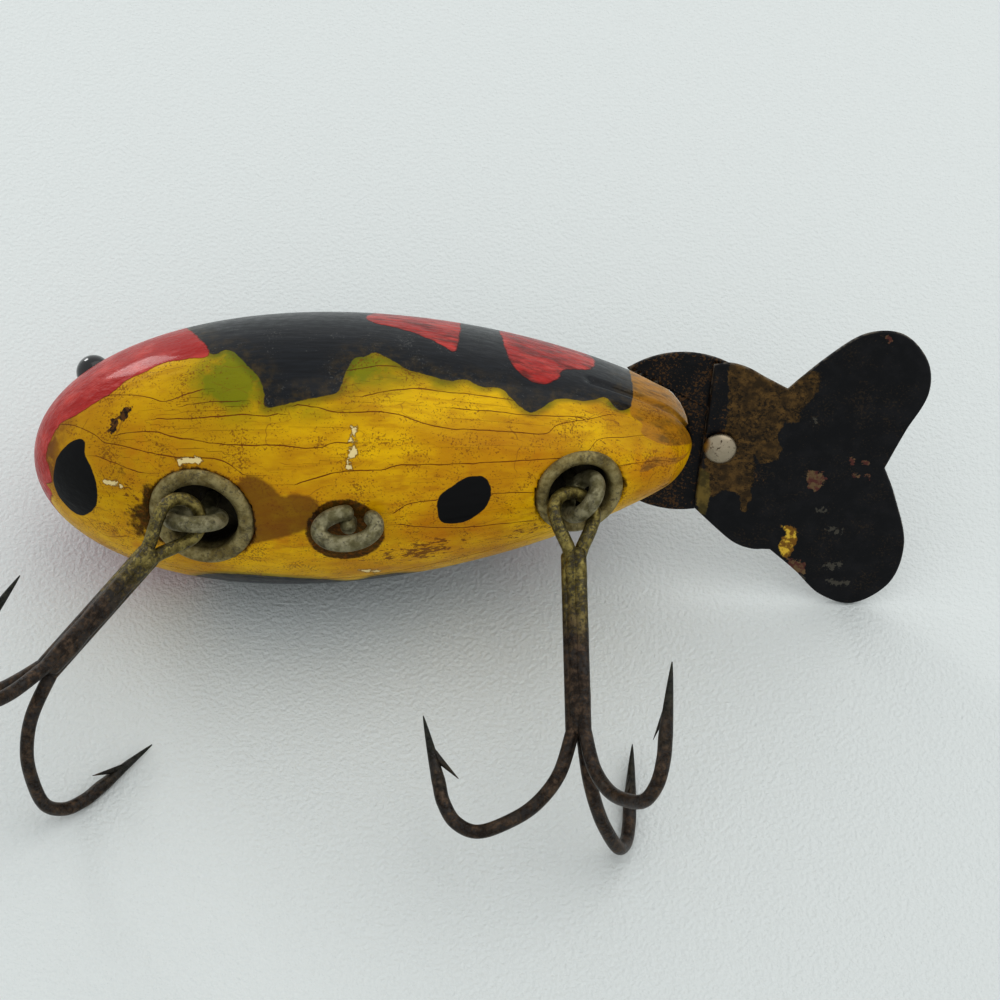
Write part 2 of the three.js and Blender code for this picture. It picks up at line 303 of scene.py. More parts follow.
RED_HEAD = [(2.4, 1), (2.5, 32), (3.3, 46), (4.4, 55), (6, 56), (7.1, 58), (8.5, 61), (10.3, 64), (11.9, 70),
            (14, 73), (15.8, 76), (18.5, 76), (20.6, 78), *HEAD_LINE, (14, 288), (10, 296), (7, 302),
            (4.4, 305), (3, 318), (2.2, 335), (2, 359), (-6, 359), (-6, 180), (-6, 1)]
RED_PATCHES = [[(36.2, 112), (37.1, 102), (40.4, 98), (42.5, 94), (44.2, 90), (45.7, 86), (46, 104),
                (45.4, 128), (43.5, 146), (39, 140)],
               [(49.9, 122), (50.4, 108), (50.8, 97), (51.7, 84), (53.1, 76), (54.7, 74), (56.3, 82),
                (56.8, 92), (59.4, 101), (59.8, 120), (57, 138), (52, 138)]]
HIDDEN_PATCHES = [[(along - 2.5, 354 - round_deg) for along, round_deg in patch] for patch in RED_PATCHES]
body_marks = {"black": painted(BLACK_UPPER + BLACK_UNDER + HEAD_LINE[::-1]), "head": painted(RED_HEAD)}
patches = [painted(patch) for patch in RED_PATCHES + HIDDEN_PATCHES]
body_marks["red"] = np.min([body_marks["head"]] + patches, 0)
print("black covers", (body_marks["black"] < 0).mean().round(2), "of the grid")

# %% The two black spots of the belly, the brown stains and the bare tail end
KIDNEY = [(6.7, 40), (7.4, 38), (7.4, 30), (7.9, 24), (8.4, 16), (8.5, 9), (8.2, 0), (7.2, -8), (6, -14),
          (4.9, -14), (3.7, -7), (3.2, 6), (3.5, 20), (4.2, 31), (5.5, 38)]
OVAL = [(43.9, 4), (44.2, 10), (45.4, 14), (46.7, 18), (47.8, 19), (48.9, 18), (49.4, 12), (49.2, 6),
        (48.5, 0), (47, -5), (45.6, -6), (44.2, -4)]
DRIP = [(24.6, 20), (25.8, 20), (27.1, 17), (28.3, 12), (29.8, 13), (31.8, 10), (31.9, 3), (30.6, -3),
        (28.4, -7), (25.8, -10), (23.7, -12), (22, 0), (22.5, 12)]
TAIL_END = [(63.6, 140), (63.6, 100), (63.6, 70), (63.9, 64), (64.8, 58), (64.8, 48), (67.1, 38), (69.2, 36),
            (72, 36), (72, 324), (68, 322), (65, 300), (63.8, 262), (63.6, 200)]
TAIL_PATCH = [(64.5, 10), (65, 20), (66.3, 25), (69.2, 12), (69.4, 4), (66.8, 12), (65.2, 10)]
body_marks["spots"] = np.minimum(painted(KIDNEY, 0), painted(OVAL, 0))
body_marks["drip"] = painted(DRIP, 0)
body_marks["ochre"] = np.minimum(painted(TAIL_END), painted(TAIL_PATCH, 0))

# %% Cream chips, a dark smudge, and the long drying cracks
CREAM = [[(35.8, 40.5), (35.7, 36.5)], [(35.9, 34.5), (35.6, 29)], [(35.3, 26.5), (35.3, 24.5)],
         [(17.8, 26.5), (20, 26.5)], [(9.6, 15), (11.2, 14)], [(35.4, -34.5), (36.8, -36.5)]]
SMUDGE = [[(12.1, 52), (11.6, 48.5)], [(11, 46.5), (10.5, 43.5)]]
CRACKS = [
    [(10.1, 63), (14, 58), (16.4, 54), (18.5, 56), (20.1, 58)], [(18.5, 51), (21.5, 52), (24.1, 52)],
    [(15.4, 46), (18.5, 45), (21.7, 45), (24.1, 46), (26.7, 45), (28.1, 46)],
    [(11.4, 40), (15, 40), (17.4, 37), (21.7, 34), (24.1, 33), (27.7, 33), (32, 32), (33.5, 34), (35.3, 34)],
    [(4.5, 54), (8.4, 42), (9.7, 36), (11.7, 34), (14.3, 31), (17.4, 28), (20.6, 28), (22.6, 26), (24.4, 21)],
    [(30, 17), (32, 20), (33.9, 22), (38.4, 23), (40.4, 25), (45.4, 25), (50.5, 26), (56.9, 27)],
    [(30, 50), (32.2, 49), (34.1, 47), (38.4, 48), (40.2, 47), (42.5, 44), (45, 42), (48, 42), (51, 42),
     (54.9, 42), (56.2, 48), (59, 54), (60.5, 58), (61.8, 62)], [(35.3, 67), (37.8, 70), (39.8, 71)],
    [(36.9, 55), (40.2, 59), (42.9, 60), (46.7, 60), (51.5, 60)],
    [(45.7, 52), (49.4, 52), (52.9, 52), (56.5, 54), (59, 56)],
    [(39.6, 3), (41, 7), (42.7, 8), (43.9, 8)], [(49.6, 9), (52.2, 8), (53.7, 7)],
    [(40, -3), (42.5, -6), (47, -10), (50.1, -11), (53.6, -14)],
    [(59.4, 32), (60.5, 41), (63.1, 44), (64.8, 47)], [(62.5, 19), (64.5, 20), (67.1, 18), (69.2, 4)],
    [(6.8, -14), (8.2, -24), (11, -18)], [(8.9, 29), (11.4, 24), (13.7, 21)],
    [(65.7, 102), (67.8, 106), (69.3, 128)], [(53.6, 112), (56.3, 113), (59, 118)],
    [(12, -40), (22, -38), (34, -42), (46, -36), (56, -30)], [(8, -60), (18, -64), (30, -58), (40, -62)],
]
FAR = 9.0


def crack_gap():
    """The offset to the nearest crack, with a sign so that it crosses zero in the crack itself."""
    nearest = np.full(grid_along.shape, FAR)
    angle = degrees_from(0)
    for crack in CRACKS:
        line = rounded(crack, closed=False)
        offset = (angle - np.interp(grid_along, line[:, 0], line[:, 1])) * ROUND_MM
        past = np.maximum(0, np.maximum(line[0, 0] - grid_along, grid_along - line[-1, 0]))
        offset = np.where(offset < 0, -1, 1) * np.hypot(offset, past)
        nearest = np.where(abs(offset) < abs(nearest), offset, nearest)
    return nearest


body_marks.update(cracks=crack_gap(), cream=strokes(CREAM, half_width=0.24),
                  smudge=strokes(SMUDGE, half_width=0.5))
print(len(CRACKS), "cracks")

# %% Soft tints as blobs
TINTS = {
    "dirt": [(0.62, 12.8, -2, 2, 2.2), (0.5, 14, 12, 0.8, 2), (0.5, 11.2, 22, 1.6, 1.6), (0.5, 13, -16, 3, 2),
             (0.4, 17, 28, 2.5, 1), (0.5, 66, -30, 5, 1.5)],
    "green": [(1.6, 25, 66, 2.8, 3.8), (1.3, 22.4, 66, 3.2, 3.2), (0.4, 22, 60, 4, 4),
              (1.5, 37.2, 70, 2.8, 2), (0.6, 35.6, 62, 1, 2), (0.6, 31, 47, 4.5, 1.2),
              (0.8, 44.5, 64, 3.5, 1), (0.8, 55, 61, 1, 0.8), (1.1, 62, 70, 1.3, 0.9),
              (0.35, 38, 62, 4, 2.5), (0.3, 24, -36, 8, 1.4)],
    "amber": [(0.4, 54, 28, 9, 3), (1, 28, 0, 5, 4), (0.8, 66, 20, 5, 6), (0.6, 13, 30, 6, 5),
              (0.7, 42, -10, 12, 5), (0.7, 12, -20, 8, 4)],
    # the first blob is painted shade on the front of the flank; the other two darken the yellow near the tail
    # and near the head
    "shade_and_tan": [(0.8, 20, 42, 9, 9), (0.6, 66, 40, 5, 8), (0.6, 9, 25, 5, 8)],
    "flecks": [(1, 42, -22, 5, 2.6), (0.8, 53, -22, 4, 2.2), (0.35, 30, -25, 9, 3), (0.7, 12.5, 8, 2.6, 4),
               (0.5, 9, 38, 3, 3), (0.5, 60, 40, 5, 3)],
    "nose_side": [(1, 3.6, 30, 3.2, 9)],
}


def blob(strength, along, round_deg, wide, high):
    """A soft round tint: strength times e to the minus squared distance, counted in widths."""
    angle = degrees_from(round_deg)
    return strength * np.exp(-((grid_along - along) / wide) ** 2 - (angle * ROUND_MM / high) ** 2)


body_marks.update({tint: sum(blob(*values) for values in blobs) for tint, blobs in TINTS.items()})

# %% Dirt that gathers round the metal
RING_DIRT = (34.4, -6, 3.1)


def beyond(along, round_deg, radius):
    """How far a point is outside a round fitting, along the surface."""
    return np.maximum(0, np.hypot(grid_along - along, degrees_from(round_deg) * ROUND_MM) - radius)


for side, strength, reach in [("front", 0.8, 0.5), ("rear", 0.6, 0.45)]:
    outside = beyond(CUPS[side]["along"], 0, CUPS[side]["flange"])
    body_marks["dirt"] += strength * np.exp(-outside / reach)
body_marks["dirt"] += 1.5 * np.exp(-(beyond(*RING_DIRT) / 0.9) ** 2)


def with_poles(values):
    """Adds the two pole points' values, taken from the rings next to them."""
    return np.concatenate([values.ravel(), [values[0].mean(), values[-1].mean()]])


body_marks = {mark: with_poles(values) for mark, values in body_marks.items()}


def body_place(points):
    """On the table, with the side it lies on rubbed flat."""
    placed = on_table(points)
    placed[:, 2] = np.maximum(placed[:, 2], 0)
    return placed


make_piece("painted_wood_body", body_place, body_shell, "lure", "wood_body", "paint", body_marks)

# %% [markdown]
# ## Eyes, cups and screw eyes
# The eyes are small glass beads sunk to half their depth. A hook cup is pressed from thin sheet: a rounded
# flange round a deep well. A profile carried round an axis gives both, with a little unevenness so that
# the rim looks hammered by years of use.

# %% Carry a profile round an axis
def lathe(profile, columns, wobble=0.0):
    """Each profile point (radius, height) goes round the z axis, in or out a little by wobble."""
    profile = np.array(profile, float)
    angle = np.linspace(0, 2 * np.pi, columns, endpoint=False)
    radius = profile[:, :1] * (1 + wobble * (np.sin(2 * angle + 1) + 0.6 * np.sin(3 * angle))[None])
    height = profile[:, 1:] + wobble * 3 * np.sin(angle * 2 - profile[:, :1])
    return np.stack([radius * np.cos(angle), radius * np.sin(angle), height + 0 * angle], -1)


BEAD_RADIUS = 1.85
BEAD_ALONG = 6.2
BEAD_ROUND = 131


def eye_bead(side):
    """A bead whose middle lies on the skin of the head."""
    tilt = np.radians(np.linspace(1, 179, 60))
    profile = BEAD_RADIUS * np.stack([np.sin(tilt), np.cos(tilt)], -1)
    points, faces = loft(lathe(profile, 72))
    return points + skin(np.array(BEAD_ALONG), np.array(side * BEAD_ROUND)), faces


for name, node, side in [("left_bead", "eye_left", 1), ("right_bead", "eye_right", -1)]:
    make_piece(name, on_table, eye_bead(side), "lure", node, "eye_bead")


# %% Hook cups
FLANGE_HIGH = 0.78


def cup_shell(along, flange, well):
    """Outer edge, over the rounded flange, down the well and back under the sheet."""
    t = np.linspace(0, np.pi, 22)
    middle, half = (flange + well) / 2, (flange - well) / 2
    rim = np.stack([middle + half * np.cos(t), FLANGE_HIGH * np.sin(t) ** 0.8], -1)
    bottom, outer = -CUP_DEPTH, -CUP_DEPTH - CUP_SHEET
    down = [(well - 0.02, -0.4), (well - 0.05, -1.5), (well - 0.1, -2.9), (well - 0.5, -3.45)]
    floor = [(well - 1, bottom), (1.3, bottom), (0.02, bottom), (0.02, outer), (well + 0.1, outer)]
    under = [(well + 0.42, -3.5), (well + CUP_SHEET, -0.3), (flange - 0.2, -0.12)]
    rings = lathe(np.vstack([rim, down, floor, under]), 128, 0.008)
    points, faces = loft(rings, closed=True)
    corner, axes = belly_frame(along, CUP_SINK)
    return (corner + points @ axes.T, faces), points[:, 2]


for side, cup in CUPS.items():
    shell, height = cup_shell(**cup)
    make_piece(f"{side}_cup", on_table, shell, "lure", f"{side}_hook_cup", "cup_metal", {"height": height})

# %% [markdown]
# ## Wires
# Screw eyes and hooks are bent from round wire in one plane. A wire is its middle line with a ring round
# each point: one direction lies in the plane across the line, the other stands straight up from it. The
# radius may change along the way, which also closes the ends and draws out the hook points.

# %% Carry a ring along a flat line
def wire(path, radius, up=(0, 0, 1), sides=20, flatten=1.0):
    """Ring points are path + radius (cos t across + sin t up), with across in the plane of the bend."""
    path, up = np.array(path, float), np.array(up, float)
    ahead = np.gradient(path, axis=0)
    ahead /= np.linalg.norm(ahead, axis=1)[:, None]
    across = np.cross(up, ahead)
    t = np.linspace(0, 2 * np.pi, sides, endpoint=False)
    radius = np.broadcast_to(radius, len(path))[:, None, None]
    circle = across[:, None] * np.cos(t)[None, :, None] + up * flatten * np.sin(t)[None, :, None]
    return loft(path[:, None] + radius * circle)


def round_ends(path, radius, start=True, end=True):
    """Adds points at the ends of a line with radii that close it like a bead."""
    path, radius = np.array(path, float), np.broadcast_to(radius, len(path)).astype(float)
    ease = np.array([1.0, 0.92, 0.7, 0.38])
    if start:
        back_off = (path[0] - path[1]) / np.linalg.norm(path[0] - path[1])
        path = np.vstack([path[0] + back_off * radius[0] * ease[:, None], path])
        radius = np.concatenate([radius[0] * np.sqrt(1 - ease ** 2 * 0.995), radius])
    if end:
        ahead = (path[-1] - path[-2]) / np.linalg.norm(path[-1] - path[-2])
        path = np.vstack([path, path[-1] + ahead * radius[-1] * ease[::-1, None]])
        radius = np.concatenate([radius, radius[-1] * np.sqrt(1 - ease[::-1] ** 2 * 0.995)])
    return path, radius


# %% Screw eyes
EYE_WIRE = 0.85
RING_STEPS = 96
STEM_STEPS = 16
STEM_TIP = 0.4
STEM_INTO_RING = 0.35
SCREW_EYES = {
    "front": dict(along=19.5, spin=0, lift=1.25, aside=0.87, lean=20, wide=2.55, high=2.55, shank=13,
                  arc=(-84, 262)),
    "middle": dict(along=34.9, spin=4, lift=1.9, aside=0.37, lean=-38, wide=2.9, high=1.65, shank=13,
                   arc=(-28, 268)),
    "rear": dict(along=58.4, spin=45, lift=0.4, aside=0, lean=0, wide=2.15, high=2.15, shank=8,
                 arc=(-84, 262)),
}


def screw_eye(along, spin, lift, aside, lean, wide, high, shank, arc):
    """A tapering shank, and an oval ring whose wire follows the arc and so stays open."""
    t = np.radians(np.linspace(*arc, RING_STEPS))
    oval = np.stack([wide * np.cos(t), 0 * t, high * np.sin(t)], -1)
    ring, ring_faces = wire(*round_ends(oval, EYE_WIRE), up=(0, 1, 0), sides=24)
    ring = ring @ turn("x", -lean).T + [0, aside, lift]
    foot = lift - high * np.cos(np.radians(lean))
    line = np.linspace(foot - shank, foot + STEM_INTO_RING, STEM_STEPS)[:, None] * [[0.0, 0, 1]]
    thick = np.linspace(STEM_TIP, 1, STEM_STEPS) ** 0.5 * EYE_WIRE
    stem = wire(*round_ends(line, thick), up=(0, 1, 0), sides=24)
    points, faces = together((ring, ring_faces), stem)
    corner, axes = belly_frame(along, 0, spin)
    return corner + points @ axes.T, faces


for side, eye in SCREW_EYES.items():
    make_piece(f"{side}_eye_wire", on_table, screw_eye(**eye), "lure", f"{side}_screw_eye", "eye_wire")

# %% [markdown]
# ## Treble hooks
# A treble hook is three bent wires brazed side by side. Its eye is a drop-shaped loop whose two legs run
# together on the shank. Each wire leaves the bundle, swings round in a wide bend and ends in a drawn-out
# spear, with a flat barb cut up from its inner side.

# %% One bent wire with its point and barb
WIRE = 0.7
BUNDLE = 0.78
SHANK_END = 23
LEG_START = 4.7
BEND = [(SHANK_END, BUNDLE), (27.1, 2.2), (29.9, 4.5), (31.5, 7.2), (32.4, 10.5), (31.3, 12.8), (29.2, 14),
        (27.4, 14.4)]
TIP = (20.2, 16)
SPEAR_STEPS = 24
LEG_STEPS = 40
BARB_STEPS = 12
BARB_ROOT = 16
BARB_LONG = 3.4
BARB_HIGH = 2.0
BARB_THICK = 0.5


def hook_wire(gape, longer):
    """The middle line in the hook's plane, then the spear, thinning to its tip."""
    bend = rounded(BEND, 9, closed=False)
    spear = bend[-1] + (np.array(TIP) - bend[-1]) * np.linspace(0.06, 1, SPEAR_STEPS)[:, None]
    curved = np.vstack([bend, spear]) * [1, gape]
    curved[:, 1] += BUNDLE * (1 - gape) * smooth_step(curved[:, 0], BEND[1][0], SHANK_END)
    curved += [longer, 0]
    leg_along = np.linspace(LEG_START, SHANK_END + longer - 0.4, LEG_STEPS)
    leg = np.stack([leg_along, np.full(LEG_STEPS, BUNDLE)], -1)
    path = np.column_stack([np.vstack([leg, curved]), np.zeros(len(leg) + len(curved))])
    thin = np.linspace(1, 0.03, SPEAR_STEPS) ** 0.75
    return path, WIRE * np.concatenate([np.ones(len(path) - SPEAR_STEPS), thin])


def barb(path):
    """A thin wedge lifted from the inner side of the spear, its tip pointing back into the bend."""
    root, tip = path[-BARB_ROOT], path[-SPEAR_STEPS]
    ahead = (root - tip) / np.linalg.norm(root - tip)
    across = np.array([ahead[1], -ahead[0], 0])
    across *= -np.sign(across[1])
    line = np.linspace(0, 1, BARB_STEPS)[:, None]
    middle = root + ahead * 0.6 + (across * BARB_HIGH - ahead * BARB_LONG) * line
    return wire(middle, BARB_THICK * (1 - line[:, 0] * 0.93), flatten=0.55, sides=12)


# %% Put three wires, the brazing and the eye together
TREBLES = {
    "front": dict(reach=(-1.32, 0.68, 1.47), heading=-128.2, slope=12.04, spin=140,
                  longer=-3.0, gape=1.15, angles=(87.4, -70.7, -172)),
    "rear": dict(reach=(-0.83, -0.86, 1.86), heading=-88, slope=14.77, spin=160.3,
                 longer=0.08, gape=0.99, angles=(192.4, 59.1, -67.1)),
}
LOOP_RADIUS = 2.2
LOOP_ARC = (61, 299)
LOOP_LEG = [(5.4, 0.42, 0), (4.6, 0.5, 0), (3.7, 0.78, 0), (2.6, 1.3, 0), (1.7, 1.72, 0)]
BRAZE_START = 4.9
BRAZE_STEPS = 30
BRAZE_RADIUS = 1.12
BRAZE_WAVES = 0.05
SPEAR_OUT = 8
SPEAR_MIRROR = 66
TABLE_GAP = 0.06


def eye_loop(spin):
    """The wire's loop round the origin, its two legs running together on the shank."""
    t = np.radians(np.linspace(*LOOP_ARC, 60))
    loop = LOOP_RADIUS * np.stack([np.cos(t), np.sin(t), 0 * t], -1)
    leg = np.array(LOOP_LEG)
    points, faces = wire(*round_ends(np.vstack([leg, loop, leg[::-1] * [1, -1, 1]]), WIRE))
    return points @ turn("x", spin).T, faces


def eye_middle(side, reach):
    """A treble's eye is its reach away from the middle of the ring that carries it."""
    ring = SCREW_EYES[side]
    corner, axes = belly_frame(ring["along"], 0, ring["spin"])
    return on_table(corner + axes @ [0, ring["aside"], ring["lift"]] + reach) + [0, 0, TABLE_GAP]


def treble(side, reach, heading, slope, spin, longer, gape, angles):
    """Everything along +x from the middle of the eye, then turned and carried to the eye's place."""
    shells = [eye_loop(spin)]
    end = SHANK_END + longer - 0.6
    for angle in angles:
        path, thin = round_ends(*hook_wire(gape, longer), end=False)
        for points, faces in [wire(path, thin), barb(path)]:
            shells.append((points @ turn("x", angle).T, faces))
    braze = np.linspace(BRAZE_START, end, BRAZE_STEPS)[:, None] * [[1.0, 0, 0]]
    thick = BRAZE_RADIUS + BRAZE_WAVES * np.sin(np.linspace(0, 17, BRAZE_STEPS))
    shells.append(wire(*round_ends(braze, thick)))
    points, faces = together(*shells)
    along = points[:, 0] - longer
    in_spear = np.hypot(points[:, 1], points[:, 2]) > SPEAR_OUT * gape
    along = np.where(in_spear, SPEAR_MIRROR - along, along)
    axes = turn("z", heading) @ turn("y", slope)
    return (eye_middle(side, reach) + points @ axes.T, faces), {"along": along}


def stay(points):
    """These points are on the table already."""
    return points


for side, hook in TREBLES.items():
    shell, marks = treble(side, **hook)
    make_piece(f"{side}_treble", stay, shell, "lure", f"{side}_treble_hook", "hook_steel", marks)

# %% [markdown]
# ## The tail plates
# Both plates are cut from thin sheet and painted black. There is a point inside each outline from which
# all of it can be seen, so the sheet can be a fan of lines from there: over the upper face, round the
# softly filed edge and back along the lower face. The base plate is a disc whose hidden corner is cut back
# along the end of the wood. The fin has a faint crease across its waist and small dents.

# %% Sheet metal from an outline
RIVET_AT = np.array([72.9, -0.2])
SHEET = 0.6
SHEET_GAP = 0.3
BEVEL = 0.18
FACE_STEPS = 60


def plate(line, middle, low, warp):
    """Scales the outline toward its middle in steps, with a rounded rim between the two faces."""
    spread = np.linspace(0.02, 1, FACE_STEPS)
    spread = np.concatenate([spread, [1], spread[::-1]])[:, None, None]
    bevel = np.repeat([BEVEL, 0, BEVEL], [FACE_STEPS, 1, FACE_STEPS])[:, None, None]
    height = np.repeat([SHEET, SHEET / 2, 0], [FACE_STEPS, 1, FACE_STEPS])[:, None, None]
    ray = line - np.array(middle)
    length = np.linalg.norm(ray, axis=1, keepdims=True)
    flat = middle + (ray / length) * (length - bevel) * spread
    height = low + height + warp(flat[..., :1], flat[..., 1:])
    return loft(np.concatenate([flat, height], -1))


# %% The fin's outline, seen from the rivet
FIN_TURN = -10
CREASE_AT = 6.6
CREASE_WIDE = 0.5
CREASE_DEEP = 0.07
DENT_DEEP = 0.05
FIN_TOP = [(-2.2, 9.5), (-0.6, 9.9), (1.3, 9.6), (3.4, 8.7), (5.8, 7.75)]
FIN_LOBES = [(5.8, 7.75), (8.9, 11.7), (12.5, 15.2), (16.3, 15.7), (19.4, 13), (20.3, 9.2), (18.9, 4.6),
             (17.6, -0.3)]
FIN_LOW = [(17.6, -0.3), (19.4, -3.7), (21.5, -9.2), (21, -14.4), (17.6, -17.6), (13.8, -17), (10.6, -14.4),
           (7.4, -12.1)]
FIN_SHOULDER = [(7.4, -12.1), (5.4, -12.3), (3.3, -11.7), (0.7, -9.8), (-1.5, -8)]


def fin_line():
    """The fin's edge from the rivet, smooth between its corners, the front edge cut straight."""
    runs = [rounded(run, 9, closed=False)[:-1] for run in (FIN_TOP, FIN_LOBES, FIN_LOW, FIN_SHOULDER)]
    front = np.linspace(FIN_SHOULDER[-1], FIN_TOP[0], 22)[:-1]
    return np.vstack(runs + [front])


def fin_warp(x, y):
    """Crease across the waist and shallow dents, nothing near the rivet."""
    crease = -CREASE_DEEP * np.exp(-((x - CREASE_AT) / CREASE_WIDE) ** 2)
    dents = DENT_DEEP * np.sin(0.5 * x + 1) * np.cos(0.45 * y)
    return (crease + dents) * smooth_step(x, 4, 7)


# %% The two plates in place, their outlines on the body's own axes and the fin's from the rivet
BASE_MIDDLE = (73.0, 3.0)
FIN_MIDDLE = (9.0, -1.0)
DISC_RADIUS = 9.6
DISC_CENTRE = (68.9, 1.0)
DISC_ARC = (203, 483)
BASE_CORNER = [(63.4, 8.95), (64.3, 8.5), (65.3, 8), (66.3, 7.4), (66.8, 7.05), (67.4, 6.55), (67.9, 6),
               (68.4, 5.25), (68.8, 4.6), (69.15, 3.8), (69.45, 2.9), (69.6, 2), (69.2, 1.45), (66.4, 0.25),
               (63.3, -1.1), (60.6, -2.3)]
t = np.radians(np.arange(*DISC_ARC, 2.5))
disc_line = np.array(DISC_CENTRE) + DISC_RADIUS * np.stack([np.cos(t), np.sin(t)], -1)
base_line = np.vstack([disc_line, BASE_CORNER])
base_points, base_faces = plate(base_line, BASE_MIDDLE, -SHEET / 2, lambda x, y: 0 * x)
fin_outline = fin_line()
fin_flat, fin_faces = plate(fin_outline, FIN_MIDDLE, SHEET / 2 + SHEET_GAP, fin_warp)
fin_points = fin_flat @ turn("z", FIN_TURN).T + np.append(RIVET_AT, 0)
print("fin reaches", fin_points[:, 0].max().round(1), "mm from the nose")


def fin_area(*outlines):
    """Distance to the nearest of some outlines on the fin, negative inside."""
    x, y = fin_flat[:, 0], fin_flat[:, 1]
    return np.min([distance_to(rounded(outline), x, y) for outline in outlines], 0)


# %% Where the fin's paint has worn off
WORN = [(-0.5, 10), (1.5, 10.1), (3.5, 8.9), (5.5, 8.1), (7, 9.6), (8.6, 10.2), (8.7, 7.6), (7.9, 6),
        (7.4, 4), (6.2, 3.7), (5.8, 2.3), (6.4, 0.4), (6.1, -0.8), (4.4, -1.5), (3.7, -0.2), (4.2, -3.7),
        (4.1, -7.2), (3.6, -7.5), (2.8, -5.7), (1.3, -5.3), (0.1, -6.2), (-0.5, -5), (-1.2, -2.3),
        (-0.9, -0.7), (0.2, 1.6), (0, 5.3)]
OLIVE = [(-2.2, -3.3), (-0.9, -3.1), (-0.2, -4.9), (-0.2, -8.6), (-1.1, -7.9)]
YELLOW_CHIP = [(8, -8.7), (9.5, -9), (10, -10.1), (9.3, -12.8), (8.2, -11.5), (8.7, -9.7)]
BROWN_CHIPS = [[(9.8, -1.7), (11, -1.6), (11.6, -3.4), (10.7, -4), (9.9, -2.9)],
               [(9.5, -12.8), (11.5, -13.3), (11.5, -14.4), (10.3, -14.3)],
               [(13.8, 0.5), (14.4, 0.4), (14.2, -0.2)], [(15.8, -1.2), (16.3, -1.4), (16, -1.8)],
               [(14.4, -1.5), (15, -1.4), (14.8, -1.9)], [(15.3, 0.6), (15.8, 0.3), (15.4, 0)],
               [(14.3, 15.4), (15.2, 15.3), (15.1, 14.6)]]
SCUFFS = [[(9.1, 4.8), (9.6, 4.5), (9.3, 4.1)], [(13, -8.5), (14.6, -8.3), (14.2, -8.9)],
          [(14, -15), (16.8, -14.8), (15.5, -15.4)], [(10.8, -14.8), (11.6, -14.9), (11.2, -15.3)],
          [(13.4, -13), (15.6, -12.5), (14.4, -13.4)], [(11.5, -6.2), (12.4, -6), (12, -6.6)]]
fin_marks = {
    "worn": fin_area(WORN), "olive": fin_area(OLIVE), "yellow": fin_area(YELLOW_CHIP),
    "brown": fin_area(*BROWN_CHIPS), "scuff": fin_area(*SCUFFS),
    "rusty": np.clip(1.15 - np.hypot(fin_flat[:, 0], fin_flat[:, 1] / 1.6) / 8, 0, 1),
    "edge": distance_to(fin_outline, fin_flat[:, 0], fin_flat[:, 1]),
}
base_marks = dict.fromkeys(["worn", "olive", "yellow", "brown", "scuff"], np.full(len(base_points), FAR))
base_marks["rusty"] = np.ones(len(base_points))
base_marks["edge"] = distance_to(base_line, base_points[:, 0], base_points[:, 1])
for name, body, points, faces, marks in [("base", "lure", base_points, base_faces, base_marks),
                                         ("fin", "tail_fin", fin_points, fin_faces, fin_marks)]:
    make_piece(f"{name}_plate", on_table, (points, faces), body, f"tail_{name}_plate", "black_plate", marks)

# %% The rivet
DOME_RADIUS = 1.8
DOME_HIGH = 1.0
RIVET_SHANK = 0.9
FOOT_RADIUS = 1.5


def rivet_shell():
    """A low dome over both plates, its foot spread out under them."""
    top = SHEET * 3 / 2 + SHEET_GAP * 2
    foot = -SHEET / 2 - SHEET_GAP
    t = np.radians(np.linspace(3, 84, 24))
    dome = np.stack([DOME_RADIUS * np.sin(t), top + DOME_HIGH * np.cos(t)], -1)
    rest = [(DOME_RADIUS, top + 0.05), (DOME_RADIUS - 0.08, top), (RIVET_SHANK, top), (RIVET_SHANK, foot),
            (FOOT_RADIUS, foot), (FOOT_RADIUS, foot - 0.25), (FOOT_RADIUS - 0.3, foot - 0.5),
            (0.1, foot - 0.5)]
    points, faces = loft(lathe(np.vstack([dome, rest]), 96, 0.006))
    return points + np.append(RIVET_AT, 0), faces


make_piece("dome_rivet", on_table, rivet_shell(), "lure", "tail_rivet", "rivet_metal")

# %% [markdown]
# ## Tools for finishes
# A finish is a small network of nodes. A recipe adds them one by one and hands back each node's output, so
# a finish reads from top to bottom. Colours are written as the eye sees them, 0 to 255, and turned into
# the linear values that shaders use. A mask is 1 where a layer covers and 0 where it doesn't.

# %% Colours and nodes
FLOAT, VECTOR = "NodeSocketFloat", "NodeSocketVector"
NOISE_RANGE = (0.3, 0.7)


def paint(r, g, b):
    """An eye colour as the linear colour of a shader."""
    level = np.array([r, g, b]) / 255
    linear = np.where(level <= 0.04045, level / 12.92, ((level + 0.055) / 1.055) ** 2.4)
    return (*linear.tolist(), 1.0)


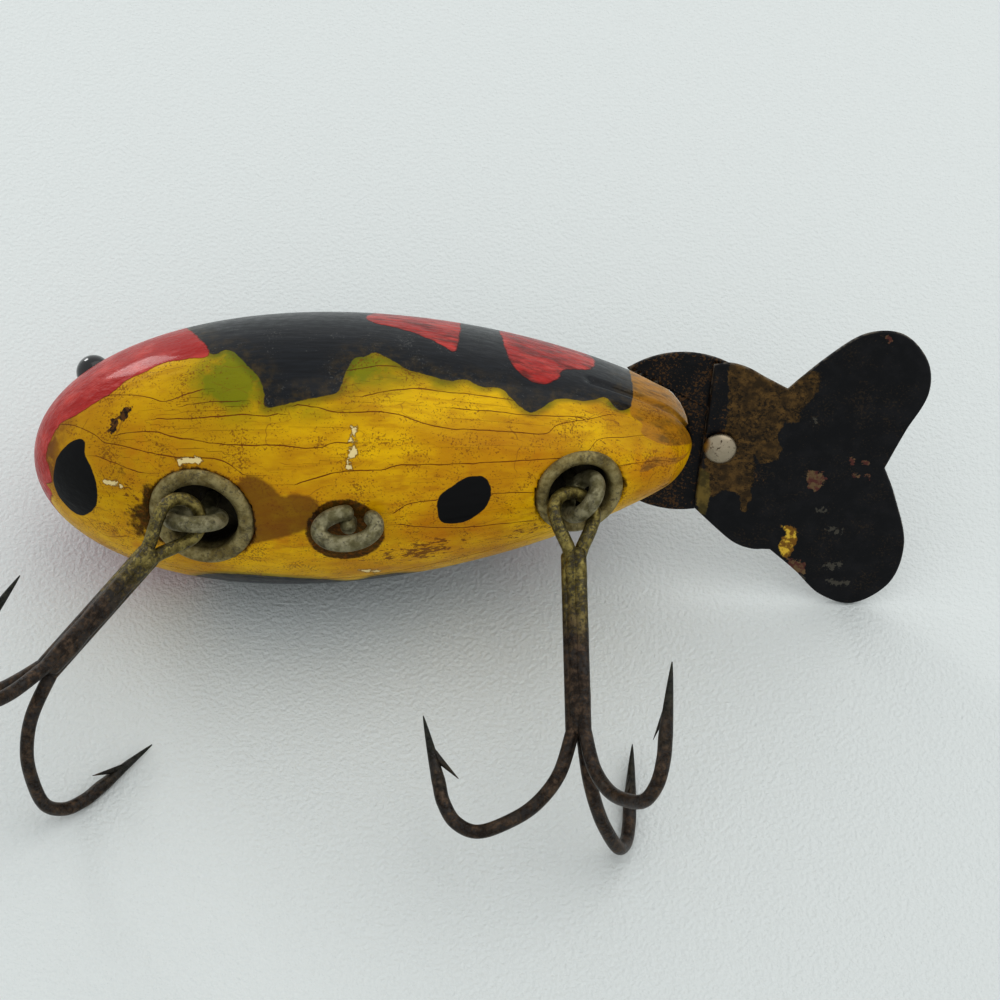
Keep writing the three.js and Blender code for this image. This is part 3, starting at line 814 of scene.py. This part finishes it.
class Recipe:
    """A node tree, with short ways to add a node that give back the node's output."""

    def __init__(self, tree):
        self.tree = tree

    def add(self, kind, inputs, output=0, **settings):
        """One node with its settings; inputs are numbers, colours or other nodes' outputs."""
        node = self.tree.nodes.new(kind)
        for name, value in settings.items():
            setattr(node, name, value)
        for socket, value in inputs.items():
            if isinstance(value, bpy.types.NodeSocket):
                self.tree.links.new(value, node.inputs[socket])
            else:
                node.inputs[socket].default_value = value
        return node.outputs[output]

    def calc(self, operation, a, b=0.0, clamp=False):
        return self.add("ShaderNodeMath", {0: a, 1: b}, operation=operation, use_clamp=clamp)

    def plus(self, a, b):
        return self.calc("ADD", a, b)

    def minus(self, a, b):
        return self.calc("SUBTRACT", a, b)

    def times(self, product, *factors):
        for factor in factors:
            product = self.calc("MULTIPLY", product, factor)
        return product

    def mark(self, name):
        return self.add("ShaderNodeAttribute", {}, 2, attribute_name=name)

    def place(self, along=None, across=1.0):
        """The place on the piece; squeezed along its length, a pattern runs along the lure."""
        place = self.add("ShaderNodeAttribute", {}, 1, attribute_name="place")
        if along is None:
            return place
        scale = {0: place, 1: (along, across, across)}
        return self.add("ShaderNodeVectorMath", scale, operation="MULTIPLY")

    def noise(self, scale, detail=4.0, rough=0.55, vector=None):
        vector = self.place() if vector is None else vector
        inputs = {"Vector": vector, "Scale": scale, "Detail": detail, "Roughness": rough}
        return self.add("ShaderNodeTexNoise", inputs)

    def step(self, value, low, high):
        """0 at low and 1 at high, eased between them; low may be the larger."""
        inputs = {0: value, 1: low, 2: high, 3: 0.0, 4: 1.0}
        if low > high:
            inputs = {0: value, 1: high, 2: low, 3: 1.0, 4: 0.0}
        return self.add("ShaderNodeMapRange", inputs, interpolation_type="SMOOTHSTEP")

    def spread(self, value, low, high, start=NOISE_RANGE[0], end=NOISE_RANGE[1]):
        """A value between start and end, spread evenly from low to high."""
        return self.add("ShaderNodeMapRange", {0: value, 1: start, 2: end, 3: low, 4: high})

    def blend(self, mask, under, top):
        """One number where the mask is 0, another where it is 1."""
        return self.add("ShaderNodeMix", {0: mask, 2: under, 3: top})

    def lay(self, under, mask, top, amount=None):
        """Lays an eye colour or another colour output over a colour where the mask says."""
        mask = mask if amount is None else self.times(mask, amount)
        top = paint(*top) if isinstance(top, tuple) else top
        return self.add("ShaderNodeMix", {0: mask, 6: under, 7: top}, 2, data_type="RGBA")

    def two_tone(self, value, low, high, first, second):
        """The first eye colour where the value is low, the second where it is high."""
        return self.lay(paint(*first), self.step(value, low, high), second)

    def inside(self, gap, wander, size, soft):
        """Inside a marked outline whose edge wanders; the gap is a mark's name or a distance."""
        gap = self.mark(gap) if isinstance(gap, str) else gap
        inputs = {"Place": self.place(), "Gap": gap, "Wander": wander, "Size": size, "Soft": soft}
        return self.add("ShaderNodeGroup", inputs, node_tree=wandering_edge)

    def specks(self, size, cover):
        inputs = {"Place": self.place(), "Size": size, "Cover": cover}
        return self.add("ShaderNodeGroup", inputs, node_tree=speckle)

    def grimy(self, size, amount):
        inputs = {"Place": self.place(), "Size": size, "Amount": amount}
        return self.add("ShaderNodeGroup", inputs, node_tree=grime)


# %% Groups shared by several finishes
def new_group(name, **numbers):
    """An empty group that takes a place and named numbers and gives a mask."""
    group = bpy.data.node_groups.new(name, "ShaderNodeTree")
    group.interface.new_socket("Place", in_out="INPUT", socket_type=VECTOR)
    for title, value in numbers.items():
        group.interface.new_socket(title, in_out="INPUT", socket_type=FLOAT).default_value = value
    group.interface.new_socket("Mask", in_out="OUTPUT", socket_type=FLOAT)
    take = group.nodes.new("NodeGroupInput").outputs
    return group, Recipe(group), take, group.nodes.new("NodeGroupOutput").inputs["Mask"]


wandering_edge, r, take, mask = new_group("wandering_edge", Gap=0.0, Wander=0.3, Size=1.0, Soft=0.08)
shake = r.minus(r.noise(take["Size"], 5, 0.6, take["Place"]), 0.5)
gap = r.plus(take["Gap"], r.times(shake, r.times(take["Wander"], 4.0)))
wandering_edge.links.new(r.step(r.calc("DIVIDE", gap, take["Soft"]), 1.0, -1.0), mask)

# %% Fine dark specks, and patches of grime
speckle, r, take, mask = new_group("speckle", Size=3.0, Cover=0.5)
patchy = r.times(r.minus(r.noise(0.35, 3, vector=take["Place"]), 0.5), 0.5)
level = r.plus(r.noise(take["Size"], 3, 0.7, take["Place"]), patchy)
speckle.links.new(r.step(r.minus(level, r.minus(1.0, take["Cover"])), 0.0, 0.06), mask)

grime, r, take, mask = new_group("grime", Amount=0.5, Size=1.0)
cloud = r.plus(r.noise(take["Size"], 6, 0.65, take["Place"]), r.minus(take["Amount"], 0.5))
grime.links.new(r.step(cloud, 0.42, 0.72), mask)
print("groups:", [group.name for group in bpy.data.node_groups])


# %% Start and end a finish
def new_finish(name, colour, **shader):
    """A material whose Principled BSDF has its even values set on its own sockets."""
    material = bpy.data.materials.new(name)
    material.use_nodes = True
    surface = material.node_tree.nodes["Principled BSDF"]
    surface.inputs["Base Color"].default_value = paint(*colour)
    print("finish", name)
    for socket, value in shader.items():
        surface.inputs[socket.replace("_", " ")].default_value = value
    return material, Recipe(material.node_tree), surface.inputs


def connect(r, surface, height, strength, distance, **values):
    """Feeds values such as the colour into the surface, and a height as its bump."""
    for socket, value in values.items():
        r.tree.links.new(value, surface[socket.replace("_", " ")])
    bump = r.add("ShaderNodeBump", {"Strength": strength, "Distance": distance, "Height": height})
    r.tree.links.new(bump, surface["Normal"])


# %% [markdown]
# ## The enamel
# The paint was brushed on in layers: yellow first, then black and red, with a soft green mist where they
# meet. Age added amber stains, brown hairline cracks that follow the grain, tiny dark specks, chips down
# to the cream primer and black dirt round the metal. The layers are laid down here in the same order.

# %% Yellow ground with amber stains and painted shade
enamel, r, surface = new_finish("aged_enamel", (205, 160, 20), Coat_Roughness=0.1, Specular_IOR_Level=0.1)
grain = r.place(0.25)
broad = r.noise(0.16, vector=r.place(0.6))
colour = r.two_tone(broad, 0.35, 0.65, (224, 180, 0), (190, 138, 2))
colour = r.lay(colour, r.step(r.noise(1.4, 5, 0.6, grain), 0.42, 0.72), (164, 108, 8), 0.5)
# painted shade: a broad darker yellow over the front of the flank, plus two small darker patches near tail
# and head
colour = r.lay(colour, r.mark("shade_and_tan"), (172, 128, 2), 0.9)
amber_mask = r.times(r.mark("amber"), r.step(r.noise(0.5, 5, 0.6), 0.3, 0.7))
colour = r.lay(colour, amber_mask, (184, 108, 8), 0.75)
mist = r.calc("MULTIPLY", r.mark("green"), r.step(r.noise(0.4), 0.1, 0.7), clamp=True)
colour = r.lay(colour, mist, (106, 118, 8), 0.85)
colour = r.lay(colour, r.step(r.mark("black"), 1.1, 0.1), (74, 84, 16), 0.6)
smoke = r.times(r.step(r.mark("head"), 3.6, 0.2), r.step(r.noise(0.6, 5, 0.65), 0.2, 0.55))
smoke = r.times(smoke, r.step(r.mark("nose_side"), 0.0, 1.0))
colour = r.lay(colour, smoke, (104, 54, 18), 0.9)

# %% Stains, flecks and specks on the yellow
colour = r.lay(colour, r.inside("drip", 0.15, 0.7, 0.25), (98, 60, 10), 0.78)
ochre_tint = r.two_tone(r.noise(1.2, 6, 0.65, grain), 0.4, 0.7, (172, 118, 34), (104, 74, 36))
colour = r.lay(colour, r.inside("ochre", 0.12, 0.9, 0.12), ochre_tint, 0.85)
fleck_noise = r.noise(1.5, 5, 0.7, r.place(0.7, 1.6))
fleck_limit = r.minus(0.72, r.times(r.mark("flecks"), 0.26))
colour = r.lay(colour, r.step(r.minus(fleck_noise, fleck_limit), 0.0, 0.035), (92, 46, 10), 0.8)
colour = r.lay(colour, r.specks(4.5, 0.415), (112, 66, 12), 0.7)

# %% Fine crazing, and the long cracks
warp = r.add("ShaderNodeTexNoise", {"Vector": r.place(), "Scale": 0.25, "Detail": 3.0}, 1)
bent = r.add("ShaderNodeVectorMath", {0: r.place(0.16, 0.5), 1: warp}, operation="ADD")
cells = r.add("ShaderNodeTexVoronoi", {"Vector": bent, "Scale": 0.8}, feature="DISTANCE_TO_EDGE")
craze = r.times(r.step(cells, 0.014, 0.004), r.step(r.noise(0.3, 3), 0.5, 0.62))
colour = r.lay(colour, craze, (120, 74, 18), 0.55)
offset = r.plus(r.mark("cracks"), r.times(r.minus(r.noise(0.4, 3, 0.5), 0.5), 0.5))
crack_width = r.times(r.step(r.noise(0.6, 3), 0.3, 0.6), 0.03)
crack_mask = r.step(r.minus(r.calc("ABSOLUTE", offset), crack_width), 0.05, -0.01)
colour = r.lay(colour, crack_mask, (112, 46, 10), 0.9)

# %% Black and red enamel
black_mask = r.inside("black", 0.1, 1.1, 0.07)
brushed = r.noise(1.6, 5, 0.6, r.place(0.12, 1.5))
black_tint = r.two_tone(brushed, 0.35, 0.75, (16, 18, 22), (27, 30, 35))
black_tint = r.lay(black_tint, r.specks(4.4, 0.36), (92, 92, 88), 0.5)
thin_edge = r.times(r.step(r.mark("black"), -3.2, -0.2), r.step(r.noise(0.9, 6, 0.7), 0.4, 0.7))
black_tint = r.lay(black_tint, thin_edge, (78, 62, 30), 0.6)
colour = r.lay(colour, black_mask, black_tint)
red_mask = r.inside("red", 0.14, 0.9, 0.1)
red_tint = r.two_tone(r.noise(0.5, 5, vector=r.place(0.5)), 0.4, 0.7, (158, 30, 26), (190, 66, 58))
smoky = r.times(r.step(r.mark("head"), 0.0, 0.5), r.step(r.noise(1.0, 6, 0.7, grain), 0.4, 0.65))
red_tint = r.lay(red_tint, smoky, (78, 26, 22), 0.8)
colour = r.lay(colour, red_mask, red_tint)
colour = r.lay(colour, r.inside("spots", 0.07, 1.2, 0.06), (9, 9, 11))

# %% Chips and dirt over everything
cream_gap = r.minus(r.mark("cream"), 0.16)
colour = r.lay(colour, r.inside(cream_gap, 0.5, 1.5, 0.1), (124, 82, 20), 0.7)
cream_mask = r.inside("cream", 0.5, 1.5, 0.07)
colour = r.lay(colour, cream_mask, (226, 206, 150))
smudge_tint = r.two_tone(r.noise(2.5, 3), 0.4, 0.6, (34, 22, 12), (84, 54, 20))
colour = r.lay(colour, r.inside("smudge", 0.6, 1.2, 0.1), smudge_tint)
dirt_mask = r.times(r.grimy(1.3, r.mark("dirt")), r.step(r.mark("dirt"), 0.04, 0.5))
dirt_tint = r.two_tone(r.noise(2.2, 4, 0.7), 0.45, 0.62, (30, 16, 8), (92, 50, 14))
colour = r.lay(colour, dirt_mask, dirt_tint, 0.9)

# %% Gloss and relief of the enamel
rough = r.blend(dirt_mask, r.spread(r.noise(1.2), 0.3, 0.46), 0.85)
rough = r.blend(crack_mask, rough, 0.7)
waves = r.times(r.noise(0.8, 3, vector=r.place(0.22, 0.9)), 0.12)
relief = r.plus(waves, r.times(brushed, 0.02))
lumps = r.times(r.noise(0.9, 3, vector=r.place(0.4, 1.3)), 0.3, red_mask)
layers = [(black_mask, 0.05), (red_mask, 0.05), (lumps, 1.0), (crack_mask, -0.09), (cream_mask, -0.08),
          (r.times(dirt_mask, fleck_noise), 0.2)]
for layer, height in layers:
    relief = r.plus(relief, r.times(layer, height))
varnish = r.spread(r.calc("MAXIMUM", black_mask, red_mask), 0.12, 0.3, 0.0, 1.0)
connect(r, surface, relief, 1.0, 0.001, Base_Color=colour, Roughness=rough, Coat_Weight=varnish)

# %% [markdown]
# ## Metal and glass
# Plated brass and steel that has lain in tackle boxes for decades is dull, spotted and greenish where the
# plating is thin, and stays bright only on the rivet's dome. The hooks go from a goldish olive shank to
# brown rust in the bends. One recipe serves the cups and screw eyes, with colours of their own.

# %% Black glass
glass, r, surface = new_finish("black_bead", (10, 10, 12), Coat_Weight=0.5, Coat_Roughness=0.05)
film = r.noise(1.2)
film_tint = r.two_tone(film, 0.5, 0.7, (10, 10, 12), (26, 27, 28))
connect(r, surface, film, 0.2, 0.00005, Base_Color=film_tint, Roughness=r.spread(film, 0.06, 0.2))


# %% Dull plated metal
def dull_metal(name, base, light, dark, stain_amount):
    """Mottled plating with dark pits and stains, and painted shade that turns a cup's well nearly black."""
    material, r, surface = new_finish(name, base, Metallic=0.7)
    tint = r.two_tone(r.noise(0.9, 6, 0.65), 0.38, 0.62, base, light)
    pits = r.specks(3.0, 0.42)
    tint = r.lay(tint, pits, dark, 0.6)
    tint = r.lay(tint, r.grimy(0.8, stain_amount), dark, 0.7)
    # painted shade: the colour darkens to nearly black down in a cup's well, deeper means darker
    tint = r.lay(tint, r.step(r.mark("height"), -0.1, -1.6), (18, 14, 9), 0.9)
    rough = r.spread(r.noise(2.0), 0.42, 0.7)
    height = r.minus(r.noise(1.6, 5, 0.6), r.times(pits, 0.4))
    metal = r.spread(pits, 0.75, 0.2, 0.0, 1.0)
    connect(r, surface, height, 0.7, 0.00012, Base_Color=tint, Roughness=rough, Metallic=metal)
    return material


cup_metal = dull_metal("dull_cup", (124, 110, 68), (158, 146, 104), (44, 34, 14), 0.46)
eye_metal = dull_metal("dull_wire", (108, 102, 72), (150, 144, 116), (38, 32, 16), 0.44)

# %% Rusty hook steel
hook_steel, r, surface = new_finish("rusty_hook", (60, 46, 36), Metallic=0.6)
mottle = r.noise(1.1, 6, 0.7)
gold = r.two_tone(mottle, 0.4, 0.62, (86, 76, 38), (138, 126, 74))
rust = r.two_tone(mottle, 0.42, 0.65, (42, 34, 28), (90, 74, 60))
point = r.two_tone(mottle, 0.4, 0.65, (30, 32, 28), (58, 58, 50))
drift = r.plus(r.mark("along"), r.times(r.minus(r.noise(0.5), 0.5), 9.0))
tint = r.lay(r.lay(gold, r.step(drift, 7.0, 15.0), rust), r.step(drift, 36.0, 44.0), point)
pits = r.specks(3.0, 0.5)
tint = r.lay(tint, pits, (18, 12, 8), 0.7)
metal = r.spread(pits, 0.75, 0.25, 0.0, 1.0)
connect(r, surface, r.minus(mottle, r.times(pits, 0.3)), 0.6, 0.00016, Base_Color=tint,
        Roughness=r.spread(mottle, 0.22, 0.48), Metallic=metal)

# %% [markdown]
# ## The black tail
# The plates were dipped in black. On the fin the paint has worn down to brown metal in a ragged area
# round the rivet, and small chips show yellow and brown below. The base plate is spotted with fine rust.

# %% Worn black sheet
black_sheet, r, surface = new_finish("worn_black_sheet", (14, 15, 18), Metallic=0.0, Specular_IOR_Level=0.2)
cloud = r.noise(0.5, 6, 0.65)
tint = r.two_tone(cloud, 0.4, 0.7, (10, 11, 15), (24, 24, 27))
tint = r.lay(tint, r.specks(4.0, 0.4), (62, 48, 30), 0.4)
rust_cover = r.spread(r.mark("rusty"), 0.2, 0.455, 0.0, 1.0)
tint = r.lay(tint, r.specks(3.2, rust_cover), (78, 54, 28))
worn = r.inside("worn", 0.36, 0.9, 0.08)
bare = r.two_tone(r.noise(0.8, 6, 0.7), 0.4, 0.65, (54, 40, 20), (98, 74, 38))
tint = r.lay(tint, worn, r.lay(bare, r.specks(3.0, 0.46), (24, 18, 10), 0.8))

# %% Scuffs, chips and a painted highlight along the rim of the sheet
tint = r.lay(tint, r.inside("scuff", 0.6, 2.4, 0.12), (88, 84, 74), 0.6)
olive = r.two_tone(cloud, 0.4, 0.6, (70, 60, 26), (112, 94, 44))
tint = r.lay(tint, r.inside("olive", 0.25, 1.2, 0.1), olive)
brown = r.two_tone(r.noise(1.8), 0.42, 0.6, (84, 46, 40), (104, 84, 58))
tint = r.lay(tint, r.inside("brown", 0.55, 1.9, 0.07), brown)
yellow = r.two_tone(r.noise(1.4, 5), 0.45, 0.6, (120, 84, 24), (214, 178, 62))
tint = r.lay(tint, r.inside("yellow", 0.35, 1.4, 0.08), yellow)
# painted highlight: a light grey line along the edge of both plates
rim = r.times(r.step(r.mark("edge"), -0.12, 0.0), r.step(r.noise(1.2), 0.45, 0.6))
tint = r.lay(tint, rim, (120, 112, 100), 0.7)
rough = r.blend(worn, r.spread(cloud, 0.34, 0.55), 0.62)
height = r.minus(r.times(r.noise(1.0, 6, 0.6), 0.5), r.times(worn, 0.5))
connect(r, surface, height, 0.7, 0.00012, Base_Color=tint, Roughness=rough)

# %% Nickel dome
nickel, r, surface = new_finish("rubbed_nickel", (150, 140, 120), Metallic=1.0)
pocks = r.specks(2.2, 0.37)
tint = r.lay(paint(164, 152, 132), pocks, (64, 52, 38), 0.8)
rough = r.spread(r.noise(1.5), 0.26, 0.42)
connect(r, surface, r.times(pocks, -1.0), 0.6, 0.00008, Base_Color=tint, Roughness=rough)

# %% Hand out the finishes
FINISHES = {"paint": enamel, "eye_bead": glass, "cup_metal": cup_metal, "eye_wire": eye_metal,
            "hook_steel": hook_steel, "black_plate": black_sheet, "rivet_metal": nickel}
for slot, finish in FINISHES.items():
    for piece in PIECES[slot]:
        piece.data.materials.append(finish)
    print(slot, "on", [piece.name for piece in PIECES[slot]])

# %% [markdown]
# ## Table, light and camera
# The lure lies on a pale, finely textured sheet. A big soft light from the upper right throws the soft
# shadows to the lower left, and a small one far behind puts the long highlight on the red head. The camera
# looks down at 54 degrees from the belly side, as the photograph was taken.

# %% The pale sheet it lies on
SHEET_HALF = 2


def floor_piece():
    """A flat square far larger than the view."""
    mesh = bpy.data.meshes.new("pale_sheet")
    corners = [(x * SHEET_HALF, y * SHEET_HALF, 0) for x, y in [(-1, -1), (1, -1), (1, 1), (-1, 1)]]
    mesh.from_pydata(corners, [], [(0, 1, 2, 3)])
    floor = bpy.data.objects.new("pale_sheet", mesh)
    bpy.context.scene.collection.objects.link(floor)
    return floor


sheet, r, surface = new_finish("pale_sheet", (216, 220, 219), Roughness=0.5)
dimples = r.noise(2100.0, 2, 0.5, r.add("ShaderNodeTexCoord", {}, 3))
connect(r, surface, dimples, 0.5, 0.0004)
floor_piece().data.materials.append(sheet)


# %% Lights
def soft_light(name, place, size, power, colour):
    """A square area light at a place, aimed at the middle of the table."""
    lamp = bpy.data.lights.new(name, "AREA")
    lamp.size, lamp.energy, lamp.color = size, power, colour
    holder = bpy.data.objects.new(name, lamp)
    holder.location = place
    x, y, z = place
    holder.rotation_euler = (np.arctan2(np.hypot(x, y), z), 0, np.arctan2(-y, -x) - np.pi / 2)
    bpy.context.scene.collection.objects.link(holder)
    print(name, "stands at", place, "m")


soft_light("soft_key", place=(0.42, 0.24, 0.82), size=1.1, power=2.28, colour=(1.0, 0.98, 0.95))
soft_light("far_window", place=(-0.52, 0.74, 0.26), size=0.22, power=1.1, colour=(1.0, 1.0, 1.0))
world = bpy.data.worlds.new("room_light")
world.use_nodes = True
sky = world.node_tree.nodes["Background"].inputs
sky["Color"].default_value = (0.96, 0.99, 1.0, 1)
sky["Strength"].default_value = 0.72
bpy.context.scene.world = world

# %% Camera
CAMERA_LIFT = np.radians(54)
CAMERA_ROLL = np.radians(1.09)
CAMERA_AWAY = 280
SENSOR = 36
LENS_PER_SENSOR = 2.615
AIM = NOSE * [1, 1, 0] + [49.69, -2.83, 10.0]
look = np.array([0, np.cos(CAMERA_LIFT), -np.sin(CAMERA_LIFT)])
level_right = np.array([1.0, 0, 0])
level_up = np.cross(level_right, look)
right = level_right * np.cos(CAMERA_ROLL) + level_up * np.sin(CAMERA_ROLL)
matrix = np.eye(4)
matrix[:3, :3] = np.stack([right, np.cross(right, look), -look], -1)
matrix[:3, 3] = (AIM - CAMERA_AWAY * look) / 1000
camera = bpy.data.objects.new("camera", bpy.data.cameras.new("camera"))
camera.data.sensor_width, camera.data.lens = SENSOR, SENSOR * LENS_PER_SENSOR
camera.data.clip_start, camera.data.clip_end = 0.01, 10
camera.matrix_world = matrix.T.tolist()
bpy.context.scene.collection.objects.link(camera)
bpy.context.scene.camera = camera
bpy.context.scene.view_settings.view_transform = "Standard"
bpy.context.scene.view_settings.look = "Medium High Contrast"
print("camera stands at", (matrix[:3, 3] * 1000).round(1), "mm")
